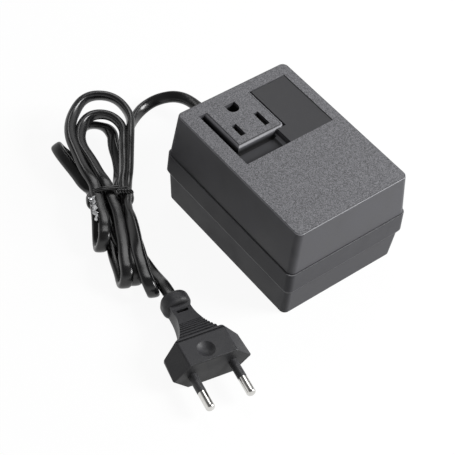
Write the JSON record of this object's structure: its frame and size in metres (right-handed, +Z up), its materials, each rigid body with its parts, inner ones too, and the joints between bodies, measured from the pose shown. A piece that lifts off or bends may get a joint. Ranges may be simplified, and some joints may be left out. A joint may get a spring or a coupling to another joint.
{
  "type": "travel voltage converter",
  "caption": "Small two-part plastic case with a recessed mains outlet on its top face, a transformer inside, and a tied flat mains cord that ends in a flat two-pin plug.",
  "frame": {"origin": "middle of the case's underside, on the surface that it stands on", "axes": "+Z up; +Y along the case's length, towards the wall that the cord leaves; +X across the case, towards the rating plate's side"},
  "size_m": [0.1271, 0.1744, 0.0514],
  "materials": {
    "case_top": "fine matte grain",
    "case_base": "smooth satin",
    "plate": "smooth satin, bare",
    "screw_steel": "zinc plated",
    "holder_plastic": "matte",
    "contact_brass": "bright",
    "core_steel": "varnished plates",
    "bobbin_plastic": "natural nylon",
    "winding_copper": "enamelled copper wire",
    "winding_tape": "yellow film tape",
    "lead_black": "glossy insulation",
    "lead_red": "glossy insulation",
    "relief_rubber": "satin",
    "clamp_plastic": "matte",
    "cord_pvc": "glossy",
    "tie_wire": "glossy, its tail with a bright crinkled film",
    "plug_plastic": "fine matte grain",
    "bridge_plastic": "matte",
    "pin_nickel": "bright nickel",
    "sleeve_plastic": "satin"
  },
  "bodies": {
    "root": {"top_cover": "case_top", "base_shell": "case_base", "rating_plate": "plate", "case_screws": "screw_steel", "contact_holder": "holder_plastic", "holder_screws": "screw_steel", "contact_short": "contact_brass", "contact_long": "contact_brass", "core_e_plates": "core_steel", "core_i_plates": "core_steel", "core_screws": "screw_steel", "bobbin": "bobbin_plastic", "winding": "winding_copper", "winding_tape": "winding_tape", "supply_lead_a": "lead_black", "supply_lead_b": "lead_red", "outlet_lead_a": "lead_black", "outlet_lead_b": "lead_red", "strain_relief": "relief_rubber", "cord_inner": "cord_pvc", "cord_clamp": "clamp_plastic", "clamp_screws": "screw_steel", "cord_exit": "cord_pvc", "cord_hank": "cord_pvc", "cord_plug_run": "cord_pvc", "cord_tie": "tie_wire", "plug_body": "plug_plastic", "plug_pin_bridge": "bridge_plastic", "plug_pins": "pin_nickel", "pin_sleeves": "sleeve_plastic"}
  },
  "joints": []
}
